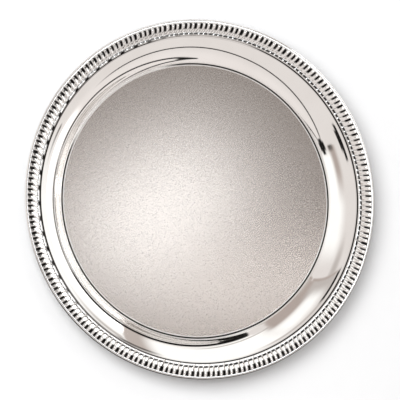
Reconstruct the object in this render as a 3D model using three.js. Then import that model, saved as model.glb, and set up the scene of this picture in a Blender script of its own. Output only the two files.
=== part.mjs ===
// Round serving tray in millimetres, standing on z = 0 with +Z up and its centre on the Z axis.
//
// A spun sheet body has a flat satin floor, a bright ring, an ogee wall and a sloping ledge.
// Die-struck gadroon mounts lie on the ledge in butt-jointed strips, each on a bed of solder, and
// a half-round wire covers the raw edge of the sheet.

import * as THREE from 'three';

// Sheet body: angles are in degrees from level, measured on the upper face.
const sheetThickness = 1.2;
const satinRadius = 115;
const brightRingWidth = 2.3;
const creaseAngle = 36;
const wallAngle = 43.5;
const ledgeAngle = 18;
const coveRadius = 34.8;
const shoulderRadius = 46.9;
const ledgeLength = 12.3;

// Gadroon mounts: lobes come in groups, and the groove that ends a group runs from edge to edge.
// Shares run up the ledge across a mount from its inner edge, and rises are above its edge height.
const groupCount = 68;
const lobesPerGroup = 3;
const stripCount = 4;
const firstJointAngle = -12.7;
const beadShare = 0.285;
const beadRise = 0.5;
const crestShare = 0.685;
const crestRise = 1.3;
const lobeEndShare = 0.935;
const lobeEndRise = 0.8;
const grooveDepth = 1;
const lobeSweep = 2.8;
const mountWall = 0.35;
const bedThickness = 0.35;
const bedMargin = 1.4;

// Edge wire: how far it stands out from the sheet's edge, and above the ledge.
const wireWidth = 1.8;
const wireOverlap = 1.3;

// Clearance of soldered faces, and of the strips' butt joints
const seatGap = 0.3;
const jointGap = 0.3;

// Facets
const ringFacets = 96;
const coveFacets = 3;
const shoulderFacets = 5;
const wireFacets = 6;
const bedFacets = 24;

// Radii and heights that follow from the sizes above
const rise = (angle) => Math.sin(THREE.MathUtils.degToRad(angle));
const run = (angle) => Math.cos(THREE.MathUtils.degToRad(angle));
const creaseRadius = satinRadius + brightRingWidth;
const wallRadius = creaseRadius + coveRadius * (rise(wallAngle) - rise(creaseAngle));
const wallHeight = sheetThickness + coveRadius * (run(creaseAngle) - run(wallAngle));
const ledgeRadius = wallRadius + shoulderRadius * (rise(wallAngle) - rise(ledgeAngle));
const ledgeHeight = wallHeight + shoulderRadius * (run(ledgeAngle) - run(wallAngle));
const mountWidth = ledgeLength - seatGap;
const hollowDepth = bedThickness + seatGap;
const edgeHeight = hollowDepth + mountWall;

// Materials
const silver = (colour, roughness) => new THREE.MeshStandardMaterial({ color: colour, roughness, metalness: 1 });
const bodySilver = silver(0xdcd8d4, 0.12);
const mountSilver = silver(0xe2dfdb, 0.1);
const wireSilver = silver(0xe0ddd9, 0.1);
const solder = silver(0x8f9093, 0.55);

// Solids of revolution: the profile is drawn as radius and height, and turned about the Z axis.
function turned(profile) {
  const points = profile.map(([radius, height]) => new THREE.Vector2(radius, height));
  const geometry = new THREE.LatheGeometry(points, ringFacets);
  return geometry.rotateX(Math.PI / 2);
}

// A point of the border: how far up the ledge it lies, and how high above the ledge's upper face.
function onLedge(along, above) {
  const radius = ledgeRadius + along * run(ledgeAngle) - above * rise(ledgeAngle);
  const height = ledgeHeight + along * rise(ledgeAngle) + above * run(ledgeAngle);
  return [radius, height];
}

// Points of the wall from its crease to the ledge, each with the angle of the sheet there.
function wallCourse() {
  const course = [];
  for (let step = 0; step <= coveFacets; step += 1) {
    const angle = THREE.MathUtils.lerp(creaseAngle, wallAngle, step / coveFacets);
    const radius = creaseRadius + coveRadius * (rise(angle) - rise(creaseAngle));
    const height = sheetThickness + coveRadius * (run(creaseAngle) - run(angle));
    course.push({ angle, radius, height });
  }
  for (let step = 1; step <= shoulderFacets; step += 1) {
    const angle = THREE.MathUtils.lerp(wallAngle, ledgeAngle, step / shoulderFacets);
    const radius = wallRadius + shoulderRadius * (rise(wallAngle) - rise(angle));
    const height = wallHeight + shoulderRadius * (run(angle) - run(wallAngle));
    course.push({ angle, radius, height });
  }
  return course;
}

// The body is one sheet of even thickness, so its lower face is the upper one set off square to it.
function trayBody() {
  const course = wallCourse();
  const upper = course.map(({ radius, height }) => [radius, height]);
  const lower = course.map(({ angle, radius, height }) => [
    radius + sheetThickness * rise(angle),
    height - sheetThickness * run(angle),
  ]);
  return turned([
    [0, 0],
    [creaseRadius, 0],
    ...lower,
    onLedge(ledgeLength, -sheetThickness),
    onLedge(ledgeLength, 0),
    ...upper.reverse(),
    [satinRadius, sheetThickness],
    [0, sheetThickness],
  ]);
}

// A D-shaped ring whose flat side lies along the edge of the sheet.
function rimWire() {
  const halfHeight = (sheetThickness + wireOverlap) / 2;
  const profile = [];
  for (let step = 0; step <= wireFacets; step += 1) {
    const angle = -90 + (180 * step) / wireFacets;
    const above = wireOverlap - halfHeight + halfHeight * rise(angle);
    profile.push(onLedge(ledgeLength + seatGap + wireWidth * run(angle), above));
  }
  profile.push(profile[0]);
  return turned(profile);
}

// Upper face of a mount from its outer foot to its inner one, as offsets and heights above the seat.
// Rises are given for the bead along the inner edge, the crest and the lobe's outer end.
function crown(bead, crest, lobeEnd) {
  return [
    [mountWidth, 0],
    [mountWidth, edgeHeight],
    [lobeEndShare * mountWidth, edgeHeight + lobeEnd],
    [crestShare * mountWidth, edgeHeight + crest],
    [beadShare * mountWidth, edgeHeight + bead],
    [0, edgeHeight],
    [0, 0],
  ];
}

const lobeCrown = crown(beadRise, crestRise, lobeEndRise);
const grooveCrown = crown(beadRise, crestRise - grooveDepth, lobeEndRise * (1 - grooveDepth / crestRise));
const groupGrooveCrown = crown(0, 0, 0);

// Hollow under a mount, or with a clearance the bed of solder that lies in it.
function hollow(clearance) {
  const inner = bedMargin + clearance;
  const outer = mountWidth - bedMargin - clearance;
  const depth = hollowDepth - clearance;
  return [
    [inner, 0],
    [inner, depth],
    [outer, depth],
    [outer, 0],
  ];
}

// A section stood on the seat: it sweeps clockwise as it goes outwards, and runs radially at the rim.
function placeSection(section, turn) {
  return section.map(([offset, above]) => {
    const [radius, height] = onLedge(seatGap + offset, seatGap + above);
    const sweep = lobeSweep * (1 - (1 - offset / mountWidth) ** 2);
    const angle = turn - sweep / radius;
    return new THREE.Vector3(radius * Math.cos(angle), radius * Math.sin(angle), height);
  });
}

// Closed body through sections of equal point count, with flat caps cut to the section's outline.
function lofted(sections, outline) {
  const size = outline.length;
  const positions = sections.flat().flatMap((point) => point.toArray());
  const index = [];
  for (let row = 0; row + 1 < sections.length; row += 1) {
    for (let column = 0; column < size; column += 1) {
      const near = row * size + column;
      const next = row * size + ((column + 1) % size);
      index.push(near, near + size, next, next, near + size, next + size);
    }
  }
  const last = (sections.length - 1) * size;
  const flat = outline.map(([offset, height]) => new THREE.Vector2(offset, height));
  for (const [a, b, c] of THREE.ShapeUtils.triangulateShape(flat, [])) {
    index.push(a, b, c, last + a, last + c, last + b);
  }
  const geometry = new THREE.BufferGeometry();
  geometry.setAttribute('position', new THREE.Float32BufferAttribute(positions, 3));
  geometry.setIndex(index);
  geometry.computeVertexNormals();
  return geometry;
}

// Strips are cut at grooves that end a group, so each holds whole groups.
const lobePitch = (2 * Math.PI) / (groupCount * lobesPerGroup);
const firstJoint = THREE.MathUtils.degToRad(firstJointAngle);
const firstLobe = (strip) => Math.round((strip * groupCount) / stripCount) * lobesPerGroup;
const jointTurn = jointGap / 2 / ledgeRadius;

function gadroonMount(strip) {
  const lobes = firstLobe(strip + 1) - firstLobe(strip);
  const channel = hollow(0);
  const sections = [];
  for (let half = 0; half <= 2 * lobes; half += 1) {
    const endsGroup = half % (2 * lobesPerGroup) === 0;
    const groove = endsGroup ? groupGrooveCrown : grooveCrown;
    const face = half % 2 === 1 ? lobeCrown : groove;
    const inset = (half === 0 ? jointTurn : 0) - (half === 2 * lobes ? jointTurn : 0);
    const turn = firstJoint + (firstLobe(strip) + half / 2) * lobePitch + inset;
    sections.push(placeSection([...face, ...channel], turn));
  }
  return lofted(sections, [...groupGrooveCrown, ...channel]);
}

function solderBed(strip) {
  const start = firstJoint + firstLobe(strip) * lobePitch + jointTurn;
  const end = firstJoint + firstLobe(strip + 1) * lobePitch - jointTurn;
  const outline = hollow(seatGap).reverse();
  const sections = [];
  for (let step = 0; step <= bedFacets; step += 1) {
    sections.push(placeSection(outline, THREE.MathUtils.lerp(start, end, step / bedFacets)));
  }
  return lofted(sections, outline);
}

// The assembly
const tray = new THREE.Group();

function addPiece(name, geometry, material) {
  const piece = new THREE.Mesh(geometry, material);
  piece.name = name;
  tray.add(piece);
}

addPiece('tray_body', trayBody(), bodySilver);
for (let strip = 0; strip < stripCount; strip += 1) {
  addPiece(`gadroon_mount_${strip + 1}`, gadroonMount(strip), mountSilver.clone());
  addPiece(`solder_bed_${strip + 1}`, solderBed(strip), solder.clone());
}
addPiece('rim_wire', rimWire(), wireSilver);

export default tray;
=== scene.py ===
# Round serving tray: the dressed model, its studio and its camera, in metres, in the CAD frame.

import math
from collections import namedtuple
from functools import reduce

import bpy
import numpy as np
from mathutils import Matrix, Vector


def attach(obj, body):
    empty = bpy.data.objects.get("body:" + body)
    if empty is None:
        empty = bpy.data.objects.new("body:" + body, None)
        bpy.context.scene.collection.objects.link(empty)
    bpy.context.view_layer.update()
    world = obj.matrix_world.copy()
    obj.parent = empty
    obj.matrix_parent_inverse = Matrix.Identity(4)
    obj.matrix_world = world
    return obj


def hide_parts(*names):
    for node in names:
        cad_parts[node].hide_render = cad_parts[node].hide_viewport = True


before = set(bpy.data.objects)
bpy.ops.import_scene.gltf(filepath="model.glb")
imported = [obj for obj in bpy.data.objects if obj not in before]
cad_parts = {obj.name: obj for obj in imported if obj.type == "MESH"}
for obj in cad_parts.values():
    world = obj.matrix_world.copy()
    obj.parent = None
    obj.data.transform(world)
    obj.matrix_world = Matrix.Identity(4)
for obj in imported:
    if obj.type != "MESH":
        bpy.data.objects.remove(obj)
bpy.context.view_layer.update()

MM = 0.001

# Sheet body, as the solids have it: angles are in degrees from level on the upper face.
SHEET = 1.2 * MM
SATIN_RADIUS = 115 * MM
SATIN_HEM = 0.05 * MM
CREASE_RADIUS = 117.3 * MM
CREASE_ANGLE = 36
WALL_ANGLE = 43.5
LEDGE_ANGLE = 18
COVE_RADIUS = 34.8 * MM
SHOULDER_RADIUS = 46.9 * MM
LEDGE_LENGTH = 12.3 * MM

# Bright ring round the satin, which falls slightly outwards, and the fine line between it and the wall
RING_DROP = 0.13 * MM
QUIRK_INNER = 116.05 * MM
QUIRK_DEPTH = 0.32 * MM

# Roughness that the blasting of the floor leaves on the ring, and where it ends on the foot of the wall
HAZE = 0.26
HAZE_INNER = 118.1 * MM
HAZE_OUTER = 118.9 * MM

# Gadroon mounts
GROUPS = 68
LOBES_PER_GROUP = 3
STRIPS = 4
FIRST_JOINT = math.radians(-12.7)
EDGE_HEIGHT = 1.0 * MM
LOBE_SWEEP = 2.8 * MM
HOLLOW_DEPTH = 0.65 * MM
BED_MARGIN = 1.4 * MM

# Edge wire
WIRE_WIDTH = 1.8 * MM
WIRE_OVERLAP = 1.3 * MM

# Clearances of soldered faces, and of the strips' butt joints
SEAT_GAP = 0.3 * MM
JOINT_GAP = 0.3 * MM

# Facets of the dressed meshes
RING_STEPS = 768
BEND_STEPS = 5
COVE_STEPS = 14
SHOULDER_STEPS = 44
QUIRK_STEPS = 20
WIRE_STEPS = 24
LOBE_STEPS = 12
FACE_ROWS = 44
FACE_MARGIN = 0.15 * MM
TURNED_SHARP_ANGLE = 15
LOBE_SHARP_ANGLE = 60


def rise(angle):
    return math.sin(math.radians(angle))


def run(angle):
    return math.cos(math.radians(angle))


# Radii and heights that follow from the sizes above
WALL_RADIUS = CREASE_RADIUS + COVE_RADIUS * (rise(WALL_ANGLE) - rise(CREASE_ANGLE))
WALL_HEIGHT = SHEET + COVE_RADIUS * (run(CREASE_ANGLE) - run(WALL_ANGLE))
LEDGE_RADIUS = WALL_RADIUS + SHOULDER_RADIUS * (rise(WALL_ANGLE) - rise(LEDGE_ANGLE))
LEDGE_HEIGHT = WALL_HEIGHT + SHOULDER_RADIUS * (run(LEDGE_ANGLE) - run(WALL_ANGLE))
MOUNT_WIDTH = LEDGE_LENGTH - SEAT_GAP


def on_ledge(along, above):
    """Radius and height of a point that lies along the ledge and above its upper face."""
    radius = LEDGE_RADIUS + along * run(LEDGE_ANGLE) - above * rise(LEDGE_ANGLE)
    height = LEDGE_HEIGHT + along * rise(LEDGE_ANGLE) + above * run(LEDGE_ANGLE)
    return radius, height


def soft_step(value, low, high):
    """0 below low, 1 above high, and a smooth curve between, for numbers and arrays."""
    share = np.clip((value - low) / (high - low), 0.0, 1.0)
    return share * share * (3.0 - 2.0 * share)


# Node helpers

def add_node(tree, kind, **settings):
    node = tree.nodes.new(kind)
    for name, value in settings.items():
        setattr(node, name, value)
    return node


def math_node(tree, operation, first, second=None, third=None):
    """Math node whose inputs are sockets or numbers; returns its output."""
    node = add_node(tree, "ShaderNodeMath", operation=operation)
    for slot, value in enumerate((first, second, third)):
        if value is None:
            continue
        if isinstance(value, bpy.types.NodeSocket):
            tree.links.new(value, node.inputs[slot])
        else:
            node.inputs[slot].default_value = value
    return node.outputs[0]


def ramp_node(tree, value, low, high, to_low=0.0, to_high=1.0):
    """Smooth map of a socket from one range to another."""
    node = add_node(tree, "ShaderNodeMapRange", interpolation_type="SMOOTHSTEP")
    tree.links.new(value, node.inputs["Value"])
    for name, number in (("From Min", low), ("From Max", high), ("To Min", to_low), ("To Max", to_high)):
        node.inputs[name].default_value = number
    return node.outputs["Result"]


# Places of the colour sockets on a mix node
MIX_FIRST = 6
MIX_SECOND = 7
MIX_RESULT = 2


def mix_colour(tree, factor, first, second):
    node = add_node(tree, "ShaderNodeMix", data_type="RGBA")
    tree.links.new(factor, node.inputs["Factor"])
    for socket, value in ((node.inputs[MIX_FIRST], first), (node.inputs[MIX_SECOND], second)):
        if isinstance(value, bpy.types.NodeSocket):
            tree.links.new(value, socket)
        else:
            socket.default_value = (*value, 1.0)
    return node.outputs[MIX_RESULT]


def noise_node(tree, vector, scale, detail):
    node = add_node(tree, "ShaderNodeTexNoise")
    node.inputs["Scale"].default_value = scale
    node.inputs["Detail"].default_value = detail
    tree.links.new(vector, node.inputs["Vector"])
    return node.outputs["Fac"]


def bump_node(tree, height, strength, distance):
    node = add_node(tree, "ShaderNodeBump")
    node.inputs["Strength"].default_value = strength
    node.inputs["Distance"].default_value = distance
    tree.links.new(height, node.inputs["Height"])
    return node.outputs["Normal"]


def new_material(name):
    """Material; returns it, its tree, its shader and object coordinates."""
    material = bpy.data.materials.new(name)
    material.use_nodes = True
    tree = material.node_tree
    place = add_node(tree, "ShaderNodeTexCoord").outputs["Object"]
    return material, tree, tree.nodes["Principled BSDF"], place


def new_metal(name):
    """Material with an all-metal surface."""
    material, tree, shader, place = new_material(name)
    shader.inputs["Metallic"].default_value = 1.0
    return material, tree, shader, place


# Materials

POLISHED = (0.955, 0.945, 0.93)
POLISHED_WORN = (0.925, 0.912, 0.895)
SATIN = (0.638, 0.570, 0.518)
SATIN_DARK = (0.485, 0.433, 0.397)
SOLDER = (0.50, 0.50, 0.52)
SOLDER_DARK = (0.36, 0.36, 0.38)
# Near-black of tarnish and of painted shade and painted dark reflections, laid into the polished metal
TARNISH_AND_SHADE = (0.012, 0.011, 0.010)

# A thin dark ring: how wide it is, and the turn and the span of its faint side, where less painted shade is
# laid, if it has one
DarkLine = namedtuple("DarkLine", "radius half_width clean_turn clean_span", defaults=[0.0, None])

# Dark lines of the body, each tarnish with painted shade and painted dark reflection that fades on one
# side: in the quirk, along the foot of the border, and beside that foot
QUIRK_LINE = DarkLine(QUIRK_INNER + 0.6 * MM, 0.65 * MM, math.radians(129), math.radians(30))
FOOT_LINE = DarkLine(LEDGE_RADIUS + 0.05 * MM, 0.45 * MM, math.radians(88), math.radians(20))
SIDE_LINE = DarkLine(LEDGE_RADIUS - 0.7 * MM, 0.5 * MM, math.radians(2), math.radians(150))

# Darkness that stays on a line's faint side, and the shares of its span between which it grows to full
FAINT_DARKNESS = 0.12
FAINT_EDGE = (0.7, 1.1)

# Shares of a line's half width between which it fades
LINE_EDGE = (0.7, 1.3)


def axis_distance(tree, place):
    """Distance of a place from the tray's axis."""
    across = add_node(tree, "ShaderNodeVectorMath", operation="MULTIPLY")
    across.inputs[1].default_value = (1.0, 1.0, 0.0)
    tree.links.new(place, across.inputs[0])
    length = add_node(tree, "ShaderNodeVectorMath", operation="LENGTH")
    tree.links.new(across.outputs[0], length.inputs[0])
    return length.outputs["Value"]


def axis_turn(tree, place):
    """Turn of a place round the tray's axis, in radians."""
    split = add_node(tree, "ShaderNodeSeparateXYZ")
    tree.links.new(place, split.inputs[0])
    return math_node(tree, "ARCTAN2", split.outputs[1], split.outputs[0])


def turned_from(tree, turn, middle):
    """Turn counted from a middle one, in radians between half a turn each way."""
    return math_node(tree, "WRAP", math_node(tree, "SUBTRACT", turn, middle), math.pi, -math.pi)


def dark_line_mask(tree, place, lines):
    """Mask of the thin dark rings: tarnish along quirks and joints, with painted shade and painted dark
    reflections that fade on a faint side.
    """
    radius = axis_distance(tree, place)
    turn = axis_turn(tree, place)
    thin, wide = LINE_EDGE
    near, far = FAINT_EDGE
    masks = []
    for line in lines:
        off = math_node(tree, "ABSOLUTE", math_node(tree, "SUBTRACT", radius, line.radius))
        ring = ramp_node(tree, off, thin * line.half_width, wide * line.half_width, 1.0, 0.0)
        if line.clean_span is None:
            masks.append(ring)
            continue
        aside = math_node(tree, "ABSOLUTE", turned_from(tree, turn, line.clean_turn))
        side_darkness = ramp_node(tree, aside, near * line.clean_span, far * line.clean_span, FAINT_DARKNESS, 1.0)
        masks.append(math_node(tree, "MULTIPLY", ring, side_darkness))
    return reduce(lambda first, second: math_node(tree, "MAXIMUM", first, second), masks)


def polished_silver(name, lines):
    """Mirror polish with faint uneven wear, hazy beside the satin, with dark lines of tarnish and of
    painted shade and dark reflection.
    """
    material, tree, shader, place = new_metal(name)
    wear = noise_node(tree, place, scale=35.0, detail=3.0)
    bright = mix_colour(tree, ramp_node(tree, wear, 0.35, 0.7), POLISHED, POLISHED_WORN)
    scuffs = noise_node(tree, place, scale=210.0, detail=4.0)
    fine = ramp_node(tree, scuffs, 0.3, 0.7, to_low=0.03, to_high=0.06)
    haze = ramp_node(tree, axis_distance(tree, place), HAZE_INNER, HAZE_OUTER, to_low=HAZE, to_high=0.0)
    darkened = dark_line_mask(tree, place, lines)
    # Painted shade and dark reflection, with tarnish, darken the colour along the lines
    tree.links.new(mix_colour(tree, darkened, bright, TARNISH_AND_SHADE), shader.inputs["Base Color"])
    tree.links.new(mix_colour(tree, darkened, POLISHED, TARNISH_AND_SHADE), shader.inputs["Specular Tint"])
    tree.links.new(math_node(tree, "ADD", fine, haze), shader.inputs["Roughness"])
    return material


def satin_silver():
    """Bead-blasted floor under clear lacquer: fine even grain in tone and height."""
    material, tree, shader, place = new_metal("satin_silver")
    fine = noise_node(tree, place, scale=2200.0, detail=2.0)
    coarse = noise_node(tree, place, scale=950.0, detail=2.0)
    grain = math_node(tree, "MULTIPLY_ADD", coarse, 0.7, math_node(tree, "MULTIPLY", fine, 0.3))
    colour = mix_colour(tree, ramp_node(tree, grain, 0.36, 0.64), SATIN, SATIN_DARK)
    tree.links.new(colour, shader.inputs["Base Color"])
    rough = ramp_node(tree, grain, 0.3, 0.7, to_low=0.25, to_high=0.28)
    tree.links.new(rough, shader.inputs["Roughness"])
    tree.links.new(bump_node(tree, fine, strength=0.12, distance=0.05 * MM), shader.inputs["Normal"])
    shader.inputs["Coat Weight"].default_value = 1.0
    shader.inputs["Coat Roughness"].default_value = 0.26
    return material


def spun_silver():
    """Underside: polished over faint concentric spinning marks."""
    material, tree, shader, place = new_metal("spun_silver")
    rings = add_node(tree, "ShaderNodeTexWave", wave_type="RINGS", rings_direction="Z")
    rings.inputs["Scale"].default_value = 260.0
    rings.inputs["Distortion"].default_value = 0.6
    tree.links.new(place, rings.inputs["Vector"])
    marks = rings.outputs["Fac"]
    cloud = noise_node(tree, place, scale=28.0, detail=4.0)
    colour = mix_colour(tree, ramp_node(tree, cloud, 0.35, 0.7), POLISHED, POLISHED_WORN)
    tree.links.new(colour, shader.inputs["Base Color"])
    dull = ramp_node(tree, cloud, 0.3, 0.7, to_low=0.12, to_high=0.2)
    rough = math_node(tree, "MULTIPLY_ADD", marks, 0.04, dull)
    tree.links.new(rough, shader.inputs["Roughness"])
    tree.links.new(bump_node(tree, marks, strength=0.05, distance=0.02 * MM), shader.inputs["Normal"])
    return material


def border_silver():
    """Polished lobes darkened by a mark read from the mesh: tarnish in the hollows with painted shade and
    painted dark reflections.
    """
    material, tree, shader, place = new_metal("border_silver")
    wear = noise_node(tree, place, scale=300.0, detail=3.0)
    bright = mix_colour(tree, ramp_node(tree, wear, 0.35, 0.7), POLISHED, POLISHED_WORN)
    dark_share = add_node(tree, "ShaderNodeAttribute", attribute_name="tarnish_and_shade").outputs["Fac"]
    patchy = ramp_node(tree, wear, 0.15, 0.6, to_low=0.94, to_high=1.0)
    darkened = math_node(tree, "MULTIPLY", dark_share, patchy)
    tree.links.new(mix_colour(tree, darkened, bright, TARNISH_AND_SHADE), shader.inputs["Base Color"])
    tree.links.new(mix_colour(tree, darkened, POLISHED, TARNISH_AND_SHADE), shader.inputs["Specular Tint"])
    rough = ramp_node(tree, darkened, 0.0, 1.0, to_low=0.07, to_high=0.35)
    tree.links.new(rough, shader.inputs["Roughness"])
    return material


def soft_solder():
    """Dull cast grey metal of the beds under the mounts."""
    material, tree, shader, place = new_metal("soft_solder")
    mottle = noise_node(tree, place, scale=420.0, detail=4.0)
    colour = mix_colour(tree, ramp_node(tree, mottle, 0.3, 0.7), SOLDER, SOLDER_DARK)
    tree.links.new(colour, shader.inputs["Base Color"])
    rough = ramp_node(tree, mottle, 0.3, 0.7, to_low=0.42, to_high=0.62)
    tree.links.new(rough, shader.inputs["Roughness"])
    tree.links.new(bump_node(tree, mottle, strength=0.3, distance=0.1 * MM), shader.inputs["Normal"])
    return material


# Meshes

def new_object(name, points, faces, materials, material_index=None, sharp_angle=TURNED_SHARP_ANGLE):
    mesh = bpy.data.meshes.new(name)
    mesh.from_pydata(points, [], faces)
    for material in materials:
        mesh.materials.append(material)
    if material_index is not None:
        mesh.polygons.foreach_set("material_index", material_index)
    mesh.shade_smooth()
    mesh.set_sharp_from_angle(angle=math.radians(sharp_angle))
    mesh.update()
    piece = bpy.data.objects.new(name, mesh)
    bpy.context.scene.collection.objects.link(piece)
    return piece


def turned(name, profile, materials, finish=None):
    """Surface of revolution through (radius, height) points; a point on the axis becomes one vertex.

    finish gives the material of the band between each point and the next."""
    turns = np.linspace(0.0, 2.0 * math.pi, RING_STEPS, endpoint=False)
    circle = np.stack([np.cos(turns), np.sin(turns)], axis=1)
    points = []
    rows = []
    for radius, height in profile:
        first = len(points)
        if radius == 0.0:
            points.append((0.0, 0.0, height))
            rows.append([first] * RING_STEPS)
        else:
            points.extend((radius * x, radius * y, height) for x, y in circle)
            rows.append(list(range(first, first + RING_STEPS)))
    faces = []
    bands = []
    for band, (near, far) in enumerate(zip(rows, rows[1:])):
        for step in range(RING_STEPS):
            after = (step + 1) % RING_STEPS
            corners = [near[step], near[after], far[after], far[step]]
            faces.append(list(dict.fromkeys(corners)))
            bands.append(finish[band] if finish else 0)
    return new_object(name, points, faces, materials, bands)


def wall_course():
    """Radius, height and angle of the upper face from the crease to the ledge."""
    course = []
    for angle in np.linspace(CREASE_ANGLE, WALL_ANGLE, COVE_STEPS + 1):
        radius = CREASE_RADIUS + COVE_RADIUS * (rise(angle) - rise(CREASE_ANGLE))
        height = SHEET + COVE_RADIUS * (run(CREASE_ANGLE) - run(angle))
        course.append((radius, height, angle))
    for angle in np.linspace(WALL_ANGLE, LEDGE_ANGLE, SHOULDER_STEPS + 1)[1:]:
        radius = WALL_RADIUS + SHOULDER_RADIUS * (rise(WALL_ANGLE) - rise(angle))
        height = WALL_HEIGHT + SHOULDER_RADIUS * (run(angle) - run(WALL_ANGLE))
        course.append((radius, height, angle))
    return course


def quirk_points():
    """Narrow round-bottomed line cut between the bright ring and the wall."""
    points = []
    for step in range(QUIRK_STEPS):
        share = step / QUIRK_STEPS
        radius = QUIRK_INNER + share * (CREASE_RADIUS - QUIRK_INNER)
        points.append((radius, SHEET - RING_DROP * (1.0 - share) - QUIRK_DEPTH * math.sin(math.pi * share)))
    return points


def lower_face(course):
    """Underside from the axis to the edge: the upper face set off by the sheet's thickness."""
    points = [(0.0, 0.0), (SATIN_RADIUS / 2, 0.0), (SATIN_RADIUS, 0.0)]
    for angle in np.linspace(0, CREASE_ANGLE, BEND_STEPS + 1)[:-1]:
        points.append((CREASE_RADIUS + SHEET * rise(angle), SHEET - SHEET * run(angle)))
    for radius, height, angle in course:
        points.append((radius + SHEET * rise(angle), height - SHEET * run(angle)))
    points.append(on_ledge(LEDGE_LENGTH, -SHEET))
    return points


def tray_body():
    """Spun sheet: lower face from the axis out, edge, then the upper face back to the axis."""
    course = wall_course()
    under = lower_face(course)
    upper = [(radius, height) for radius, height, _ in course]
    bright = [on_ledge(LEDGE_LENGTH, 0.0), *reversed(upper), *reversed(quirk_points())]
    satin_radii = (SATIN_RADIUS, SATIN_RADIUS - SATIN_HEM, SATIN_RADIUS / 2, 0.0)
    satin = [(radius, SHEET) for radius in satin_radii]
    finish = [0] * len(under) + [1] * len(bright) + [2] * (len(satin) - 1)
    polish = polished_silver("polished_silver", [QUIRK_LINE, FOOT_LINE, SIDE_LINE])
    materials = [spun_silver(), polish, satin_silver()]
    return turned("tray_body_dressed", [*under, *bright, *satin], materials, finish)


def rim_wire():
    """Half-round wire round the edge of the sheet, with a dark hairline inside and a painted dark
    reflection along its outer edge, faint on one side.
    """
    half_height = (SHEET + WIRE_OVERLAP) / 2
    profile = []
    for angle in np.linspace(-90, 90, WIRE_STEPS + 1):
        along = LEDGE_LENGTH + SEAT_GAP + WIRE_WIDTH * run(angle)
        profile.append(on_ledge(along, WIRE_OVERLAP - half_height + half_height * rise(angle)))
    top_radius = profile[-1][0]
    rim_radius = max(radius for radius, _ in profile)
    profile.append(profile[0])
    hairline = DarkLine(top_radius + 0.55 * MM, 0.09 * MM)
    # Painted dark reflection of the shaded floor along the wire's outer edge
    rim_shade_line = DarkLine(rim_radius, 0.6 * MM, math.radians(110), math.radians(105))
    return turned("rim_wire_dressed", profile, [polished_silver("wire_silver", [hairline, rim_shade_line])])


# Lobes of a mount: offsets run up the ledge from its inner edge, and widths are shares of an even one.
LOBE_INNER_END = 3.0 * MM
LOBE_BODY = 6.0 * MM
LOBE_SHOULDER = 9.6 * MM
LOBE_OUTER_END = 11.3 * MM
LOBE_RISE_INNER = 0.45 * MM
LOBE_RISE_OUTER = 1.3 * MM
LOBE_WIDTHS = (0.94, 0.94, 1.12)
LOBE_FLATNESS = 2.2
LOBE_FULLNESS = 0.55

# Bead along a mount's inner edge, which stops short of each end of a group by a share of the group
BEAD_MIDDLE = 1.5 * MM
BEAD_REACH = 1.4 * MM
BEAD_RISE = 0.45 * MM
BEAD_STOP = 0.06

# Rounding of a mount's edges
FOOT_ROUND = 0.35 * MM
FOOT_ROUND_WIDTH = 0.5 * MM


def lobe_edges():
    """Where the three lobes of a group begin and end, as shares of the group."""
    ends = np.cumsum(LOBE_WIDTHS) / LOBES_PER_GROUP
    return np.concatenate([[0.0], ends])


def across_lobe(group_share):
    """How far a share of the group lies across its lobe, from 0 at one groove to 1 at the next."""
    edges = lobe_edges()
    lobe = np.clip(np.searchsorted(edges, group_share, side="right") - 1, 0, LOBES_PER_GROUP - 1)
    return (group_share - edges[lobe]) / (edges[lobe + 1] - edges[lobe])


def beside_lobe(across):
    """0 on the middle of a lobe and 1 in the grooves beside it."""
    return np.abs(2.0 * across - 1.0)


def from_group_end(group_share):
    """Share of the group between a place and the nearer end of its group."""
    return np.minimum(group_share, 1.0 - group_share)


def mount_rises(offset, group_share):
    """Height of the upper face above the edge height, on arrays of offsets and shares of a group."""
    beside = beside_lobe(across_lobe(group_share))
    inwards = np.clip((LOBE_BODY - offset) / (LOBE_BODY - LOBE_INNER_END), 0.0, None)
    outwards = np.clip((offset - LOBE_SHOULDER) / (LOBE_OUTER_END - LOBE_SHOULDER), 0.0, None)
    section = np.clip(1.0 - beside ** LOBE_FLATNESS - inwards ** 2 - outwards ** 2, 0.0, None)
    height_share = soft_step(offset, LOBE_INNER_END, LOBE_SHOULDER)
    lobe_rise = LOBE_RISE_INNER + (LOBE_RISE_OUTER - LOBE_RISE_INNER) * height_share
    bead = BEAD_RISE * np.clip(1.0 - ((offset - BEAD_MIDDLE) / BEAD_REACH) ** 2, 0.0, None) ** 0.5
    bead *= soft_step(from_group_end(group_share), 0.0, BEAD_STOP)
    return np.maximum(section ** LOBE_FULLNESS * lobe_rise, bead)


# Darkness of a mount, from 0 to 1: tarnish in the hollows with painted shade and painted dark reflections.
# Edges are where a mark begins and is full across a lobe or a group.
# Its rings, all but those at the foot, lie off the tray's axis by a shift towards a turn.
DARK_SHIFT = 0.8 * MM
DARK_SHIFT_TURN = math.radians(265)

# Side of the tray where strokes are shorter and end in hooks of painted dark reflection, and where a
# painted grey shade dulls the lobes
HOOK_TURN = math.radians(165)
HOOK_SPAN = math.radians(55)
HOOK_SIDE = (0.15, 0.75)
HOOK_OFFSET = 10.4 * MM
HOOK_REACH = 0.95 * MM
HOOK_EDGE = (0.5, 0.7)
LOBE_SHADE = 0.2

# Strokes in the grooves, tarnish with painted shade: wider at a group's end, thinner on one side of the
# tray and where hooks are
STROKE_START = 6.0 * MM
STROKE_FULL = 7.6 * MM
STROKE_END = 12.1 * MM
STROKE_BLUR = 0.35 * MM
STROKE_SHORTER = 0.6 * MM
STROKE_EDGE = (0.4, 0.53)
STROKE_WIDER = 0.06
STROKE_GROUP_END = (0.1, 0.2)
STROKE_THINNER = 0.21
STROKE_THIN_TURN = math.radians(5)
STROKE_THIN_SPAN = math.radians(45)
STROKE_HOOK_THINNER = 0.1

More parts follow.
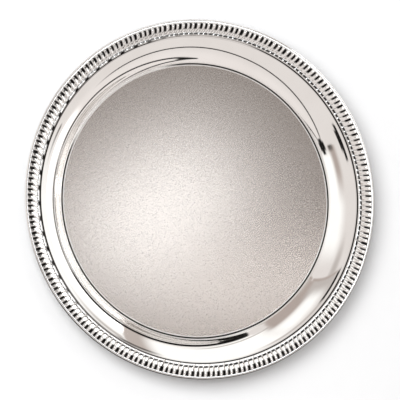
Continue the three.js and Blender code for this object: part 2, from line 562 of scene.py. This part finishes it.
# Faint lines of tarnish and painted shade in the grooves inside the strokes, and how much of them the
# hooks' side loses
GROOVE_LINE_START = 2.8 * MM
GROOVE_LINE_EDGE = (0.78, 0.94)
GROOVE_LINE_DARKNESS = 0.55
GROOVE_LINE_LOSS = 0.7

# Dashes of painted shade at the lobes' inner ends, where they drop to the bead
DASH_OFFSET = 2.9 * MM
DASH_REACH = 1.1 * MM
DASH_FADE = (0.5, 1.1)
DASH_EDGE = (0.65, 0.9)
DASH_LOSS = 0.6

# Tarnish with painted shade along the foot: up to twice as wide on one side, and fainter on the faint side
# of the body's line
FOOT_SHADE = 0.6 * MM
FOOT_SHADE_BLUR = 0.15 * MM
FOOT_WIDE_TURN = math.radians(225)
FOOT_WIDE_SPAN = math.radians(85)
FOOT_LOSS = 0.6

# Teeth of painted dark reflection on that line at each group's end, on one side of the tray
TOOTH_REACH = 2.8 * MM
TOOTH_FULL = 0.7
TOOTH_EDGE = (0.12, 0.24)
TOOTH_TURN = math.radians(160)
TOOTH_SPAN = math.radians(60)
TOOTH_SIDE = (0.1, 0.6)


def turn_bump(turn, middle, span):
    """Smooth bump in a turn: 1 at its middle, falling away over a span each side."""
    aside = (turn - middle + math.pi) % (2.0 * math.pi) - math.pi
    return np.exp(-((aside / span) ** 2))


def strokes(offset, beside, group_end, hooked, turn):
    widen = STROKE_WIDER * (1.0 - soft_step(group_end, *STROKE_GROUP_END))
    thin = turn_bump(turn, STROKE_THIN_TURN, STROKE_THIN_SPAN)
    widen -= STROKE_THINNER * thin + STROKE_HOOK_THINNER * hooked
    shorter = STROKE_SHORTER * hooked
    stroke = soft_step(beside + widen, *STROKE_EDGE)
    stroke *= soft_step(offset, STROKE_START + shorter, STROKE_FULL + shorter)
    return stroke * (1.0 - soft_step(offset, STROKE_END - STROKE_BLUR, STROKE_END + STROKE_BLUR))


def groove_lines(offset, beside, hooked):
    end = STROKE_START + STROKE_SHORTER * hooked
    seam = soft_step(beside, *GROOVE_LINE_EDGE) * soft_step(offset, GROOVE_LINE_START, GROOVE_LINE_START + STROKE_BLUR)
    seam *= (1.0 - soft_step(offset, end, end + STROKE_BLUR)) * (1.0 - GROOVE_LINE_LOSS * hooked)
    return GROOVE_LINE_DARKNESS * seam


def hooks(offset, across, hooked):
    hook = np.exp(-((offset - HOOK_OFFSET) / HOOK_REACH) ** 2) * (1.0 - soft_step(across, *HOOK_EDGE))
    return hook * soft_step(hooked, *HOOK_SIDE)


def dashes(offset, beside, hooked):
    near, far = DASH_FADE
    dash = 1.0 - soft_step(np.abs(offset - DASH_OFFSET), near * DASH_REACH, far * DASH_REACH)
    return dash * ((1.0 - soft_step(beside, *DASH_EDGE)) * (1.0 - DASH_LOSS * hooked))


def foot_shade(offset, turn):
    darkness = 1.0 - FOOT_LOSS * turn_bump(turn, FOOT_LINE.clean_turn, FOOT_LINE.clean_span)
    reach = FOOT_SHADE * (1.0 + turn_bump(turn, FOOT_WIDE_TURN, FOOT_WIDE_SPAN))
    return darkness * (1.0 - soft_step(offset, reach - FOOT_SHADE_BLUR, reach + FOOT_SHADE_BLUR))


def teeth(offset, group_end, turn):
    tooth = 1.0 - soft_step(group_end, *TOOTH_EDGE)
    tooth *= 1.0 - soft_step(offset, TOOTH_FULL * TOOTH_REACH, TOOTH_REACH)
    return tooth * soft_step(turn_bump(turn, TOOTH_TURN, TOOTH_SPAN), *TOOTH_SIDE)


def mount_darkness(offset, group_share, turn):
    """Darkness from 0 to 1 of tarnish in the hollows and of painted shade and dark reflections, on arrays
    of offsets, shares of a group and turns.
    """
    across = across_lobe(group_share)
    beside = beside_lobe(across)
    group_end = from_group_end(group_share)
    hooked = turn_bump(turn, HOOK_TURN, HOOK_SPAN)
    shifted = offset - DARK_SHIFT * np.cos(turn - DARK_SHIFT_TURN)
    return np.maximum.reduce([
        strokes(shifted, beside, group_end, hooked, turn),
        groove_lines(shifted, beside, hooked),
        hooks(shifted, across, hooked),
        dashes(shifted, beside, hooked),
        foot_shade(offset, turn),
        teeth(offset, group_end, turn),
        LOBE_SHADE * hooked,
    ])


# Gadroon mounts

def mount_sections(share):
    """Offsets and heights of the points of each section: the upper face, then the channel under it."""
    face = np.linspace(FACE_MARGIN, MOUNT_WIDTH - FACE_MARGIN, FACE_ROWS)
    offsets = np.concatenate([[0.0, 0.0], face, [MOUNT_WIDTH, MOUNT_WIDTH]])
    offset, group_share = np.meshgrid(offsets, share)
    height = EDGE_HEIGHT + mount_rises(offset, group_share)
    edge_distance = np.minimum(offset, MOUNT_WIDTH - offset)
    height -= FOOT_ROUND * (1.0 - soft_step(edge_distance, 0.0, FOOT_ROUND_WIDTH))
    height[:, [0, -1]] = 0.0
    inner = BED_MARGIN
    outer = MOUNT_WIDTH - BED_MARGIN
    channel_offset = np.tile([outer, outer, inner, inner], (len(share), 1))
    channel_height = np.tile([0.0, HOLLOW_DEPTH, HOLLOW_DEPTH, 0.0], (len(share), 1))
    return np.hstack([offset, channel_offset]), np.hstack([height, channel_height])


def section_turns(strip, count):
    """Turn of each section of a strip at its inner edge."""
    joint = JOINT_GAP / 2 / LEDGE_RADIUS
    start = FIRST_JOINT + strip * 2.0 * math.pi / STRIPS + joint
    end = FIRST_JOINT + (strip + 1) * 2.0 * math.pi / STRIPS - joint
    return np.linspace(start, end, count)


def loft_faces(count, size):
    """Faces between closed sections of equal size, with a cap at each end."""
    faces = []
    for row in range(count - 1):
        for column in range(size):
            near = row * size + column
            beside = row * size + (column + 1) % size
            faces.append((near, beside, beside + size, near + size))
    last = (count - 1) * size
    faces.append(tuple(range(size - 1, -1, -1)))
    faces.append(tuple(range(last, last + size)))
    return faces


def gadroon_mount(strip, material):
    """One struck strip: an upper face of lobes over a shallow channel, closed at both ends."""
    groups = GROUPS // STRIPS
    count = groups * LOBES_PER_GROUP * LOBE_STEPS + 1
    share = np.linspace(0.0, groups, count) % 1.0
    offset, above = mount_sections(share)
    radius, height = on_ledge(SEAT_GAP + offset, SEAT_GAP + above)
    sweep = LOBE_SWEEP * (1.0 - (1.0 - offset / MOUNT_WIDTH) ** 2)
    turn = section_turns(strip, count)[:, None] - sweep / radius
    points = np.stack([radius * np.cos(turn), radius * np.sin(turn), height], axis=2).reshape(-1, 3)
    size = offset.shape[1]
    name = f"gadroon_mount_{strip + 1}_dressed"
    piece = new_object(name, points, loft_faces(count, size), [material], sharp_angle=LOBE_SHARP_ANGLE)
    # Tarnish and painted shade, kept on the points for the border's material
    tarnish_and_shade = mount_darkness(offset, np.repeat(share[:, None], size, axis=1), turn)
    layer = piece.data.attributes.new("tarnish_and_shade", "FLOAT", "POINT")
    layer.data.foreach_set("value", tarnish_and_shade.reshape(-1).astype(np.float32))
    return piece


# The dressed pieces

def dress(piece, node):
    """The dressed piece rides on the tray and stands for its CAD node, which it hides."""
    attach(piece, "root")
    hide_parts(node)


dress(tray_body(), "tray_body")
dress(rim_wire(), "rim_wire")
mount_metal = border_silver()
for strip_number in range(STRIPS):
    dress(gadroon_mount(strip_number, mount_metal), f"gadroon_mount_{strip_number + 1}")

solder = soft_solder()
for strip_number in range(STRIPS):
    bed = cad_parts[f"solder_bed_{strip_number + 1}"]
    bed.data.materials.clear()
    bed.data.materials.append(solder)


# Studio floor

FLOOR_HALF = 4.0
FLOOR_PALE = (0.62, 0.63, 0.64)
FLOOR_SPECK = (0.605, 0.615, 0.625)


def floor_paper():
    """Matt pale paper with faint specks."""
    material, tree, shader, place = new_material("pale_floor")
    speck = noise_node(tree, place, scale=60.0, detail=2.0)
    tree.links.new(mix_colour(tree, speck, FLOOR_SPECK, FLOOR_PALE), shader.inputs["Base Color"])
    shader.inputs["Roughness"].default_value = 0.9
    shader.inputs["Specular IOR Level"].default_value = 0.1
    return material


def pale_floor():
    signs = ((-1, -1), (1, -1), (1, 1), (-1, 1))
    corners = [(x * FLOOR_HALF, y * FLOOR_HALF, 0.0) for x, y in signs]
    floor = new_object("studio_floor", corners, [(0, 1, 2, 3)], [floor_paper()])


# Tones of the light tent as the polished metal shows them
DAZZLE = (5.6, 5.55, 5.45)
GLARE = (3.6, 3.56, 3.5)
WHITE = (1.12, 1.11, 1.09)
LIGHT = (0.87, 0.82, 0.795)
PALE = (0.80, 0.755, 0.73)
GREY = (0.55, 0.505, 0.48)
FOLD = (0.55, 0.485, 0.45)
SHADE = (0.465, 0.395, 0.363)
DUSK = (0.12, 0.108, 0.10)
CEILING = (0.05, 0.042, 0.038)
BLACK = (0.010, 0.0095, 0.009)

# Panels of the light tent, in degrees: azimuth and elevation ranges with the blur of each edge. A slanted
# panel climbs by slant degrees for each degree of azimuth. Later panels cover earlier ones. The ceiling
# gap is what the satin mirrors towards the camera.
Panel = namedtuple("Panel", "name azimuth sides elevation ends tone slant", defaults=[0.0])
PANELS = (
    Panel("front wall", (205, 357), (8, 10), (-12, 27), (4, 9), LIGHT),
    Panel("right wall", (-3, 48.5), (20, 0.6), (-25, 40), (4, 5), WHITE),
    Panel("right wall foot", (-15, 48.5), (9, 0.6), (12, 22), (0.8, 5), GLARE),
    Panel("right wall end", (38, 48.5), (8, 0.6), (12, 22), (0.8, 5), DAZZLE),
    Panel("right wall streak", (34, 48), (8, 1), (32, 37), (3, 3), GREY, 0.25),
    Panel("right corner fold", (48.5, 57), (0.6, 3.5), (-10, 41), (4, 3), FOLD),
    Panel("right corner shade", (46, 59), (2, 1), (38, 41.5), (1.2, 1.5), DUSK),
    Panel("back wall", (57, 101), (3.5, 5), (13, 52), (4, 6), WHITE),
    Panel("back wall shade", (103, 133.3), (3, 0.5), (-12, 25), (3, 4), SHADE),
    Panel("left corner fold", (123, 134), (5, 0.6), (20, 56), (5, 4), GREY),
    Panel("back lamp", (101, 126), (6, 5), (28, 48), (6, 7), WHITE),
    Panel("back streak", (90, 117), (6, 3), (51, 54.5), (2, 2), GREY, 0.28),
    Panel("left corner shade", (134.8, 150), (0.6, 10), (42, 52), (4, 4), GREY),
    Panel("left corner seam", (133.2, 134.8), (0.6, 0.6), (16, 56), (3, 4), SHADE),
    Panel("left lamp", (147, 200.5), (9, 3), (8, 41), (5, 10), WHITE),
    Panel("seam shade", (181, 204), (12, 0.6), (33, 46), (5, 5), SHADE),
    Panel("seam", (201.5, 204.4), (1.5, 0.4), (33, 42), (2, 4), DUSK),
    Panel("seam foot", (200.3, 209.3), (0.5, 0.5), (10, 24.5), (1, 1.2), BLACK),
    Panel("seam foot tip", (202.4, 207.6), (1.2, 1.2), (22, 27.6), (1, 1.2), BLACK),
    Panel("camera", (192.5, 215.5), (1, 1), (61.6, 66), (0.8, 0.7), BLACK),
    Panel("camera stand", (199, 211.5), (2.5, 1), (58.6, 62.5), (0.8, 0.8), BLACK),
    Panel("back gap", (117, 133), (2, 0.8), (55, 59), (0.8, 0.8), BLACK, 0.2),
    Panel("ceiling gap", (-14, 54), (9, 9), (66, 82), (2.5, 2.5), CEILING),
    Panel("right seam", (347.5, 354), (0.6, 7), (31, 34), (1, 1), DUSK),
    Panel("back low line", (74, 104), (8, 1), (15.5, 17.8), (1, 1), GREY),
    Panel("back low light", (96.5, 103.5), (0.8, 1), (6, 14.5), (2, 1), PALE),
    Panel("back low gap", (83, 95.5), (0.8, 0.6), (1, 9), (0.8, 0.8), BLACK),
    Panel("horizon faint", (-6, 26), (4, 4), (4.4, 7.8), (0.6, 0.6), DUSK),
    Panel("horizon right", (26, 95), (3, 0.6), (5.2, 10.4), (0.5, 0.5), BLACK, 0.045),
    Panel("front low gap", (285, 294.5), (0.6, 1.5), (8.6, 12.4), (0.8, 0.8), BLACK),
)

# Level edges on the front wall: middle azimuth, flat stretch each side of it, slope at the middle, half
# thickness, azimuth range with its blur, and tone. Their edges are soft over a share of that thickness.
WallLine = namedtuple("WallLine", "name middle flat slope half_width azimuth blur tone")
WALL_LINES = (
    WallLine("front seam", 268.5, 7.5, 0.762, 1.15, (209, 326), 6, BLACK),
    WallLine("front foot", 292, 0, 0.222, 1.6, (291, 352), 5, BLACK),
)
WALL_LINE_SOFTNESS = 0.4


def between(tree, value, limits, blurs):
    """1 between two limits and 0 outside, with soft edges; limits in degrees, the socket in radians."""
    low, high = limits
    soft_low, soft_high = blurs
    enter = ramp_node(tree, value, math.radians(low - soft_low), math.radians(low + soft_low))
    leave = ramp_node(tree, value, math.radians(high - soft_high), math.radians(high + soft_high), 1.0, 0.0)
    return math_node(tree, "MULTIPLY", enter, leave)


def panel_mask(tree, azimuth, elevation, panel):
    start, end = panel.azimuth
    half = (end - start) / 2
    aside = turned_from(tree, azimuth, math.radians(start + half))
    level = math_node(tree, "MULTIPLY_ADD", aside, -panel.slant, elevation)
    sides = between(tree, aside, (-half, half), panel.sides)
    return math_node(tree, "MULTIPLY", sides, between(tree, level, panel.elevation, panel.ends))


def wall_line_mask(tree, azimuth, elevation, line):
    """Thin level edge on a flat wall, which bows in elevation as the wall runs off to the sides."""
    aside = math_node(tree, "ABSOLUTE", turned_from(tree, azimuth, math.radians(line.middle)))
    past_flat = math_node(tree, "MAXIMUM", math_node(tree, "SUBTRACT", aside, math.radians(line.flat)), 0.0)
    climb = math_node(tree, "MULTIPLY", math_node(tree, "COSINE", past_flat), line.slope)
    off = math_node(tree, "SUBTRACT", elevation, math_node(tree, "ARCTANGENT", climb))
    start, end = line.azimuth
    half = (end - start) / 2
    along = turned_from(tree, azimuth, math.radians(start + half))
    sides = between(tree, along, (-half, half), (line.blur, line.blur))
    soft = WALL_LINE_SOFTNESS * line.half_width
    thickness = between(tree, off, (-line.half_width, line.half_width), (soft, soft))
    return math_node(tree, "MULTIPLY", sides, thickness)


def light_tent():
    world = bpy.data.worlds.new("light_tent")
    bpy.context.scene.world = world
    world.use_nodes = True
    tree = world.node_tree
    direction = add_node(tree, "ShaderNodeTexCoord").outputs["Generated"]
    split = add_node(tree, "ShaderNodeSeparateXYZ")
    tree.links.new(direction, split.inputs[0])
    east, north, up = split.outputs
    azimuth = math_node(tree, "ARCTAN2", north, east)
    elevation = math_node(tree, "ARCSINE", up)
    tone = PALE
    for panel in PANELS:
        tone = mix_colour(tree, panel_mask(tree, azimuth, elevation, panel), tone, panel.tone)
    for line in WALL_LINES:
        tone = mix_colour(tree, wall_line_mask(tree, azimuth, elevation, line), tone, line.tone)
    tree.links.new(tone, tree.nodes["Background"].inputs["Color"])


# Lamps: the key lamp lights the floor and casts the shadow, and the satin mirrors the other two. A lamp
# is a rectangle, width by length, whose length lies along a bearing in degrees.
Lamp = namedtuple("Lamp", "name place size power mirrored bearing tint")


def towards(azimuth, elevation, distance):
    flat = distance * run(elevation)
    return flat * run(azimuth), flat * rise(azimuth), distance * rise(elevation)


LAMPS = (
    Lamp("key_lamp", towards(158, 58, 1.6), (1.0, 1.0), 29.0, False, 0, (1.0, 1.0, 1.0)),
    Lamp("satin_lamp", (0.115, 0.051, 0.6), (0.102, 0.179), 0.184, True, 35.6, (0.87, 0.94, 1.0)),
    Lamp("satin_fill", (0.242, -0.033, 0.6), (0.02, 0.24), 0.095, True, 1.5, (0.94, 0.97, 1.0)),
)


def area_lamp(lamp):
    """Lamp that faces the tray's middle."""
    light = bpy.data.lights.new(lamp.name, "AREA")
    light.shape = "RECTANGLE"
    light.size, light.size_y = lamp.size
    light.energy = lamp.power
    light.color = lamp.tint
    back = Vector(lamp.place).normalized()
    along = Vector((run(lamp.bearing), rise(lamp.bearing), 0.0))
    along = (along - along.dot(back) * back).normalized()
    turn = Matrix((along.cross(back), along, back)).transposed()
    holder = bpy.data.objects.new(lamp.name, light)
    holder.matrix_world = Matrix.Translation(lamp.place) @ turn.to_4x4()
    holder.visible_glossy = lamp.mirrored
    holder.visible_camera = False
    bpy.context.scene.collection.objects.link(holder)


# Camera at the photograph's angle: degrees off the tray's axis and the bearing of that tilt, distance,
# shift across the view, and focal length in pixels of a square picture. Image up is towards +Y.
CAMERA_TILT = 15.99
CAMERA_BEARING = 200.3
CAMERA_DISTANCE = 2.805
CAMERA_RIGHT = 3.0 * MM
CAMERA_UP = 0.33 * MM
PICTURE_PIXELS = 400
FOCAL_PIXELS = 3311


def photo_camera():
    flat = rise(CAMERA_TILT)
    back = Vector((flat * run(CAMERA_BEARING), flat * rise(CAMERA_BEARING), run(CAMERA_TILT)))
    up = Vector((0.0, 1.0, 0.0))
    up = (up - up.dot(back) * back).normalized()
    right = up.cross(back)
    middle = Vector((0.0, 0.0, SHEET))
    place = middle + CAMERA_DISTANCE * back + CAMERA_RIGHT * right + CAMERA_UP * up
    camera = bpy.data.cameras.new("photo_camera")
    camera.lens = camera.sensor_width * FOCAL_PIXELS / PICTURE_PIXELS
    holder = bpy.data.objects.new("photo_camera", camera)
    turn = Matrix((right, up, back)).transposed()
    holder.matrix_world = Matrix.Translation(place) @ turn.to_4x4()
    bpy.context.scene.collection.objects.link(holder)
    bpy.context.scene.camera = holder


pale_floor()
light_tent()
for studio_lamp in LAMPS:
    area_lamp(studio_lamp)
photo_camera()
bpy.context.scene.view_settings.view_transform = "Standard"
